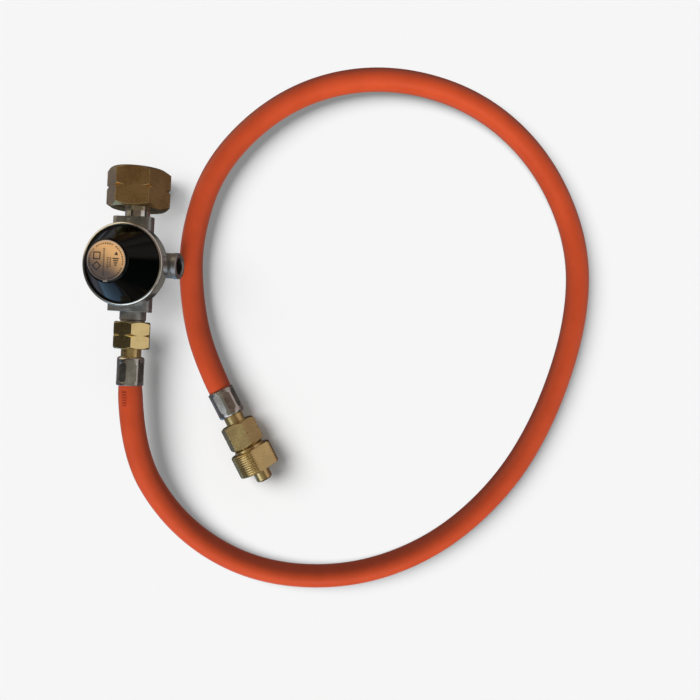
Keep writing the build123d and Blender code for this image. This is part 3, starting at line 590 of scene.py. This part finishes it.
# ---- hose ---------------------------------------------------------------------------------
HOSE_LENGTH = 0.888
HOSE_DIAMETER = 0.0133
HOSE_BORE = 0.0063
HOSE_RINGS_PER_METRE = 700
HOSE_SIDES = 40
WEAVE_PER_METRE = 620.0        # threads of the cloth impression along the hose
WEAVE_AROUND = 26.0            # and round it
HOSE_ROUTE = [
    (-0.0008, -0.0431, 0.0150),
    (-0.0008, -0.0894, 0.0150),
    (0.0259, -0.1365, 0.00665),
    (0.0711, -0.1630, 0.00665),
    (0.1262, -0.1657, 0.00665),
    (0.1760, -0.1470, 0.00665),
    (0.2157, -0.1107, 0.00665),
    (0.2409, -0.0656, 0.00665),
    (0.2564, -0.0074, 0.00665),
    (0.2538, 0.0413, 0.00665),
    (0.2272, 0.0895, 0.00665),
    (0.1842, 0.1203, 0.00665),
    (0.1296, 0.1287, 0.00665),
    (0.0789, 0.1125, 0.00665),
    (0.0400, 0.0732, 0.00665),
    (0.0273, 0.0284, 0.00665),
    (0.0299, -0.0096, 0.00665),
    (0.0400, -0.0422, 0.0118),
    (0.05584, -0.07017, 0.0118),
]


def hose_line():
    """Points along the route's smooth spline."""
    curve = bpy.data.curves.new("hose_line", "CURVE")
    curve.dimensions = "3D"
    spline = curve.splines.new("NURBS")
    spline.points.add(len(HOSE_ROUTE) - 1)
    for point, place in zip(spline.points, HOSE_ROUTE):
        point.co = (*place, 1.0)
    spline.order_u = 3
    spline.use_endpoint_u = True
    spline.resolution_u = 32
    guide = bpy.data.objects.new("hose_line", curve)
    mesh = bpy.data.meshes.new_from_object(guide)
    points = [vertex.co.copy() for vertex in mesh.vertices]
    bpy.data.objects.remove(guide)
    bpy.data.meshes.remove(mesh)
    return points


def evenly(points, step):
    """The same line with points step apart."""
    spaced = [points[0]]
    left = step
    for a, b in zip(points, points[1:]):
        run = (b - a).length
        while left < run:
            spaced.append(a.lerp(b, left / run))
            left += step
        left -= run
    spaced.append(points[-1])
    return spaced


def carried_frames(line):
    """A sideways and an upward direction at each point, carried along without twist."""
    ways = [(b - a).normalized() for a, b in zip(line, line[1:])]
    ways.append(ways[-1])
    side = ways[0].cross(Vector((0, 0, 1))).normalized()
    frames = []
    for way in ways:
        side = (side - way * side.dot(way)).normalized()
        frames.append((way, side, side.cross(way)))
    return frames


def tube(name, line, outer, inner, sides):
    """An open-ended tube with a wall, and texture coordinates in steps of its weave."""
    mesh = bpy.data.meshes.new(name)
    build = bmesh.new()
    layer = build.loops.layers.uv.new("hose")
    frames = carried_frames(line)
    travelled = 0.0
    rings = []
    for index, (point, (_, side, up)) in enumerate(zip(line, frames)):
        if index:
            travelled += (point - line[index - 1]).length
        ring = []
        for step in range(sides):
            angle = 2 * math.pi * step / sides
            away = side * math.cos(angle) + up * math.sin(angle)
            ring.append(build.verts.new(point + away * outer(travelled, angle)))
        rings.append((ring, travelled))
    for (near, start), (far, end) in zip(rings, rings[1:]):
        for step in range(sides):
            after = (step + 1) % sides
            face = build.faces.new((near[step], near[after], far[after], far[step]))
            around = (step, step + 1, step + 1, step)
            places = (start, start, end, end)
            for loop, turn, place in zip(face.loops, around, places):
                loop[layer].uv = (place * WEAVE_PER_METRE, turn / sides * WEAVE_AROUND)
    for (ring, _), centre in ((rings[0], line[0]), (rings[-1], line[-1])):
        bore = [build.verts.new(centre + (vertex.co - centre).normalized() * inner) for vertex in ring]
        for step in range(sides):
            after = (step + 1) % sides
            build.faces.new((ring[step], ring[after], bore[after], bore[step]))
        build.faces.new(bore)
    bmesh.ops.recalc_face_normals(build, faces=build.faces)
    build.to_mesh(mesh)
    build.free()
    return mesh


UNROUND = 0.03 * MM            # height of each wave of the wall
SLACK = 0.06 * MM              # keeps the waves inside the nominal size
WAVES_ALONG = 61.0             # radians per metre
WAVES_TWIST = 23.0
FERRULE_COVER = 14.2 * MM
PINCH_UNDER = 0.45 * MM
PINCH_BESIDE = 0.25 * MM
PINCH_FADE = 3.5 * MM


def hose_surface(travelled, angle):
    """Outer radius: never quite round, and pinched where the ferrules grip it."""
    wave = math.sin(travelled * WAVES_ALONG) + math.sin(2 * angle + travelled * WAVES_TWIST)
    free = min(travelled, HOSE_LENGTH - travelled) - FERRULE_COVER
    if free > 0.0:
        pinch = PINCH_BESIDE * math.exp(-(free / PINCH_FADE) ** 2)
    else:
        pinch = PINCH_UNDER
    return HOSE_DIAMETER / 2 - pinch + UNROUND * wave - SLACK


def make_hose():
    """The hose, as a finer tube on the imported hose's line."""
    line = evenly(hose_line(), 1.0 / HOSE_RINGS_PER_METRE)
    mesh = tube("gas_hose", line, hose_surface, HOSE_BORE / 2, HOSE_SIDES)
    hose = add_piece("gas_hose", mesh, "orange_rubber", "regulator")
    # Its red stays off the floor's shade and off the polished metal beside it.
    hose.visible_diffuse = False
    hose.visible_glossy = False
    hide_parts("hose")
    return line


MARK_COUNT = 7
MARK_START = 18.0 * MM         # along the hose, from the regulator's end
MARK_PITCH = 1.25 * MM
MARK_WIDTH = 0.55              # in rings of the hose
MARK_SIDE = 72                 # degrees round the hose to the row's middle
MARK_HALF = 9                  # least half length of a dash, in degrees
MARK_SPREAD = 6
MARK_LIFT = 0.01 * MM
MARK_STEPS = (-1.0, -0.5, 0.0, 0.5, 1.0)


def make_hose_marks(line):
    """A faint stamped row of plain dashes on the hose, behind the first ferrule."""
    frames = carried_frames(line)
    radius = HOSE_DIAMETER / 2 + MARK_LIFT
    build = bmesh.new()
    for step in range(MARK_COUNT):
        start = int((MARK_START + MARK_PITCH * step) * HOSE_RINGS_PER_METRE)
        half = math.radians(MARK_HALF + MARK_SPREAD * random.random())
        rows = []
        for index in (start, start + MARK_WIDTH):
            whole = int(index)
            spot = line[whole].lerp(line[whole + 1], index - whole)
            _, side, up = frames[whole]
            row = []
            for share in MARK_STEPS:
                angle = math.radians(MARK_SIDE) + share * half
                away = side * math.cos(angle) + up * math.sin(angle)
                row.append(build.verts.new(spot + away * radius))
            rows.append(row)
        near, far = rows
        for k in range(len(MARK_STEPS) - 1):
            build.faces.new((near[k], near[k + 1], far[k + 1], far[k]))
    mesh = bpy.data.meshes.new("hose_marks")
    build.to_mesh(mesh)
    build.free()
    piece = add_piece("hose_marks", mesh, "hose_ink", "regulator")


# ---- label marks --------------------------------------------------------------------------
# Millimetres from the label's middle, x towards the port.
RING_RADIUS = 9.0
RING_DASHES = 46
RING_GAP = 9                   # every ninth dash of the ring is left out
RING_DASH = 0.62
COLUMNS = (
    # x, first y, pitch, how many dashes
    (-1.2, 6.2, 0.95, 15),
    (0.9, 1.6, 0.85, 7),
    (2.3, 1.6, 0.85, 6),
)
COLUMN_DASH = 0.42
SIGN_X = -5.0                  # the square and the diamond, one above the other
SIGN_Y = 2.6
SQUARE_HALF = 1.7
DIAMOND_HALF = 1.5
SIGN_LINE = 0.55
STROKES = 4
STROKE_X = 5.2
STROKE_TOP = 1.4
STROKE_PITCH = 1.1
STROKE_LONG = 3.4
STROKE_TAPER = 0.7
STROKE_LINE = 0.6
BLADE_PLACE = (5.4, 3.8)
BLADE_REACH = 1.2
PRINT_LIFT = 0.03 * MM


def flat_mark(build, matrix, outline):
    """One printed face from its outline in millimetres."""
    corners = [build.verts.new(matrix @ Vector((x * MM, y * MM, 0))) for x, y in outline]
    build.faces.new(corners)


def bar(x, y, width, height, turn=0.0):
    """Corners of a small rectangle."""
    cos = math.cos(turn)
    sin = math.sin(turn)
    corners = []
    for i, j in ((-1, -1), (1, -1), (1, 1), (-1, 1)):
        across = i * width / 2
        upward = j * height / 2
        corners.append((x + across * cos - upward * sin, y + across * sin + upward * cos))
    return corners


def blade(x, y, reach, turn):
    """Corners of a small triangle."""
    corners = [turn + 2 * math.pi * step / 3 for step in range(3)]
    return [(x + reach * math.cos(angle), y + reach * math.sin(angle)) for angle in corners]


def frame_of_bars(x, y, half, thick, turn):
    """Four bars round a square."""
    bars = []
    for step in range(4):
        angle = turn + step * math.pi / 2
        middle = (x + half * math.cos(angle), y + half * math.sin(angle))
        bars.append(bar(*middle, thick, 2 * half + thick, angle))
    return bars


def label_outlines():
    """Generic marks: a ring of dashes, columns of dashes and four plain signs."""
    outlines = []
    for step in range(RING_DASHES):
        angle = 2 * math.pi * step / RING_DASHES
        if step % RING_GAP == RING_GAP - 1:
            continue
        tall = 0.55 + 0.35 * random.random()
        middle = (RING_RADIUS * math.cos(angle), RING_RADIUS * math.sin(angle))
        outlines.append(bar(*middle, tall, RING_DASH, angle))
    for column, first, pitch, count in COLUMNS:
        for step in range(count):
            wide = 0.75 + 0.45 * random.random()
            outlines.append(bar(column, first - step * pitch, wide, COLUMN_DASH))
    outlines += frame_of_bars(SIGN_X, SIGN_Y, SQUARE_HALF, SIGN_LINE, 0.0)
    outlines += frame_of_bars(SIGN_X, -SIGN_Y, DIAMOND_HALF, SIGN_LINE, math.pi / 4)
    for step in range(STROKES):
        height = STROKE_TOP - STROKE_PITCH * step
        outlines.append(bar(STROKE_X, height, STROKE_LONG - STROKE_TAPER * step, STROKE_LINE))
    outlines.append(blade(*BLADE_PLACE, BLADE_REACH, math.pi / 2))
    return outlines


def make_label_marks():
    """The printed marks, lying just over the label's top face."""
    label = frame["nodes"]["rating_label"]
    top = max((vertex.co for vertex in label.data.vertices), key=lambda place: place.dot(CAP_DIRECTION))
    low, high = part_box("rating_label")
    centre = (low + high) / 2
    centre += CAP_DIRECTION * (top - centre).dot(CAP_DIRECTION)
    across = PORT_DIRECTION
    along = CAP_DIRECTION.cross(across)
    turn = Matrix((across, along, CAP_DIRECTION)).transposed().to_4x4()
    matrix = Matrix.Translation(centre + CAP_DIRECTION * PRINT_LIFT) @ turn
    mesh = bpy.data.meshes.new("label_marks")
    build = bmesh.new()
    for outline in label_outlines():
        flat_mark(build, matrix, outline)
    build.to_mesh(mesh)
    build.free()
    piece = add_piece("label_marks", mesh, "print_ink", "regulator")


# ---- screw threads ------------------------------------------------------------------------
STEPS_PER_TURN = 48
RIDGE_ROOT = 0.08 * MM         # how far the ridge is sunk into the wall
RIDGE_FOOT = 0.46              # half widths as shares of the pitch
RIDGE_CREST = 0.10
RIDGE_FADE = 0.5               # turns over which the ridge rises at each end


def ridge(place, axis, wall, pitch, length, depth, sense):
    """A helical ridge on a bore's wall, from place along axis."""
    side = axis.cross(Vector((0, 0, 1))).normalized()
    up = axis.cross(side)
    root = wall + RIDGE_ROOT
    crest = wall - depth
    section = ((-RIDGE_FOOT, root), (-RIDGE_CREST, crest), (RIDGE_CREST, crest), (RIDGE_FOOT, root))
    total = int(length / pitch * STEPS_PER_TURN)
    build = bmesh.new()
    rows = []
    for step in range(total + 1):
        angle = 2 * math.pi * step / STEPS_PER_TURN * sense
        travel = pitch * step / STEPS_PER_TURN
        nearest_end = min(step, total - step) / STEPS_PER_TURN
        fade = min(1.0, nearest_end / RIDGE_FADE)
        away = side * math.cos(angle) + up * math.sin(angle)
        row = []
        for share, reach in section:
            height = root + (reach - root) * fade
            row.append(build.verts.new(place + axis * (travel + share * pitch) + away * height))
        rows.append(row)
    for a, b in zip(rows, rows[1:]):
        for k in range(4):
            after = (k + 1) % 4
            build.faces.new((a[k], a[after], b[after], b[k]))
    build.faces.new(rows[0])
    build.faces.new(reversed(rows[-1]))
    bmesh.ops.recalc_face_normals(build, faces=build.faces)
    return build


def thread(name, mount, pitch, depth, lead, run_out, material, body, sense=1):
    """A screw thread in a mount's bore: lead and run_out leave its two ends plain."""
    dims = MOUNTS[mount]["dims"]
    axis = Vector(MOUNTS[mount]["axis"]).normalized()
    length = dims["length_mm"] * MM
    start = Vector(MOUNTS[mount]["pos_m"]) - axis * (length / 2 - lead)
    build = ridge(start, axis, dims["r_mm"] * MM, pitch, length - lead - run_out, depth, sense)
    mesh = bpy.data.meshes.new(name)
    build.to_mesh(mesh)
    build.free()
    piece = add_piece(name, mesh, material, body)


LEFT_HAND = -1
BOTTLE_PITCH = 1.81 * MM       # fourteen to the inch
BOTTLE_DEPTH = 0.75 * MM
BOTTLE_LEAD = 0.9 * MM
BOTTLE_RUN_OUT = 0.7 * MM
PORT_PITCH = 0.9 * MM
PORT_DEPTH = 0.35 * MM
PORT_LEAD = 0.6 * MM
PORT_RUN_OUT = 0.3 * MM


def make_threads():
    """The ridges in the bottle nut and in the test port."""
    thread("bottle_thread", "bottle_thread", BOTTLE_PITCH, BOTTLE_DEPTH, BOTTLE_LEAD, BOTTLE_RUN_OUT,
           "dark_brass", "bottle_nut", LEFT_HAND)
    # The port's thread is near-black: painted shade that stands for the dark deep in the port's bore.
    thread("port_thread", "test_port", PORT_PITCH, PORT_DEPTH, PORT_LEAD, PORT_RUN_OUT,
           "blackened_steel", "regulator")


# ---- build --------------------------------------------------------------------------------
bpy.context.scene.view_settings.view_transform = "Standard"
make_camera()
dress_nodes()
make_hose_marks(make_hose())
make_label_marks()
make_threads()
make_studio()
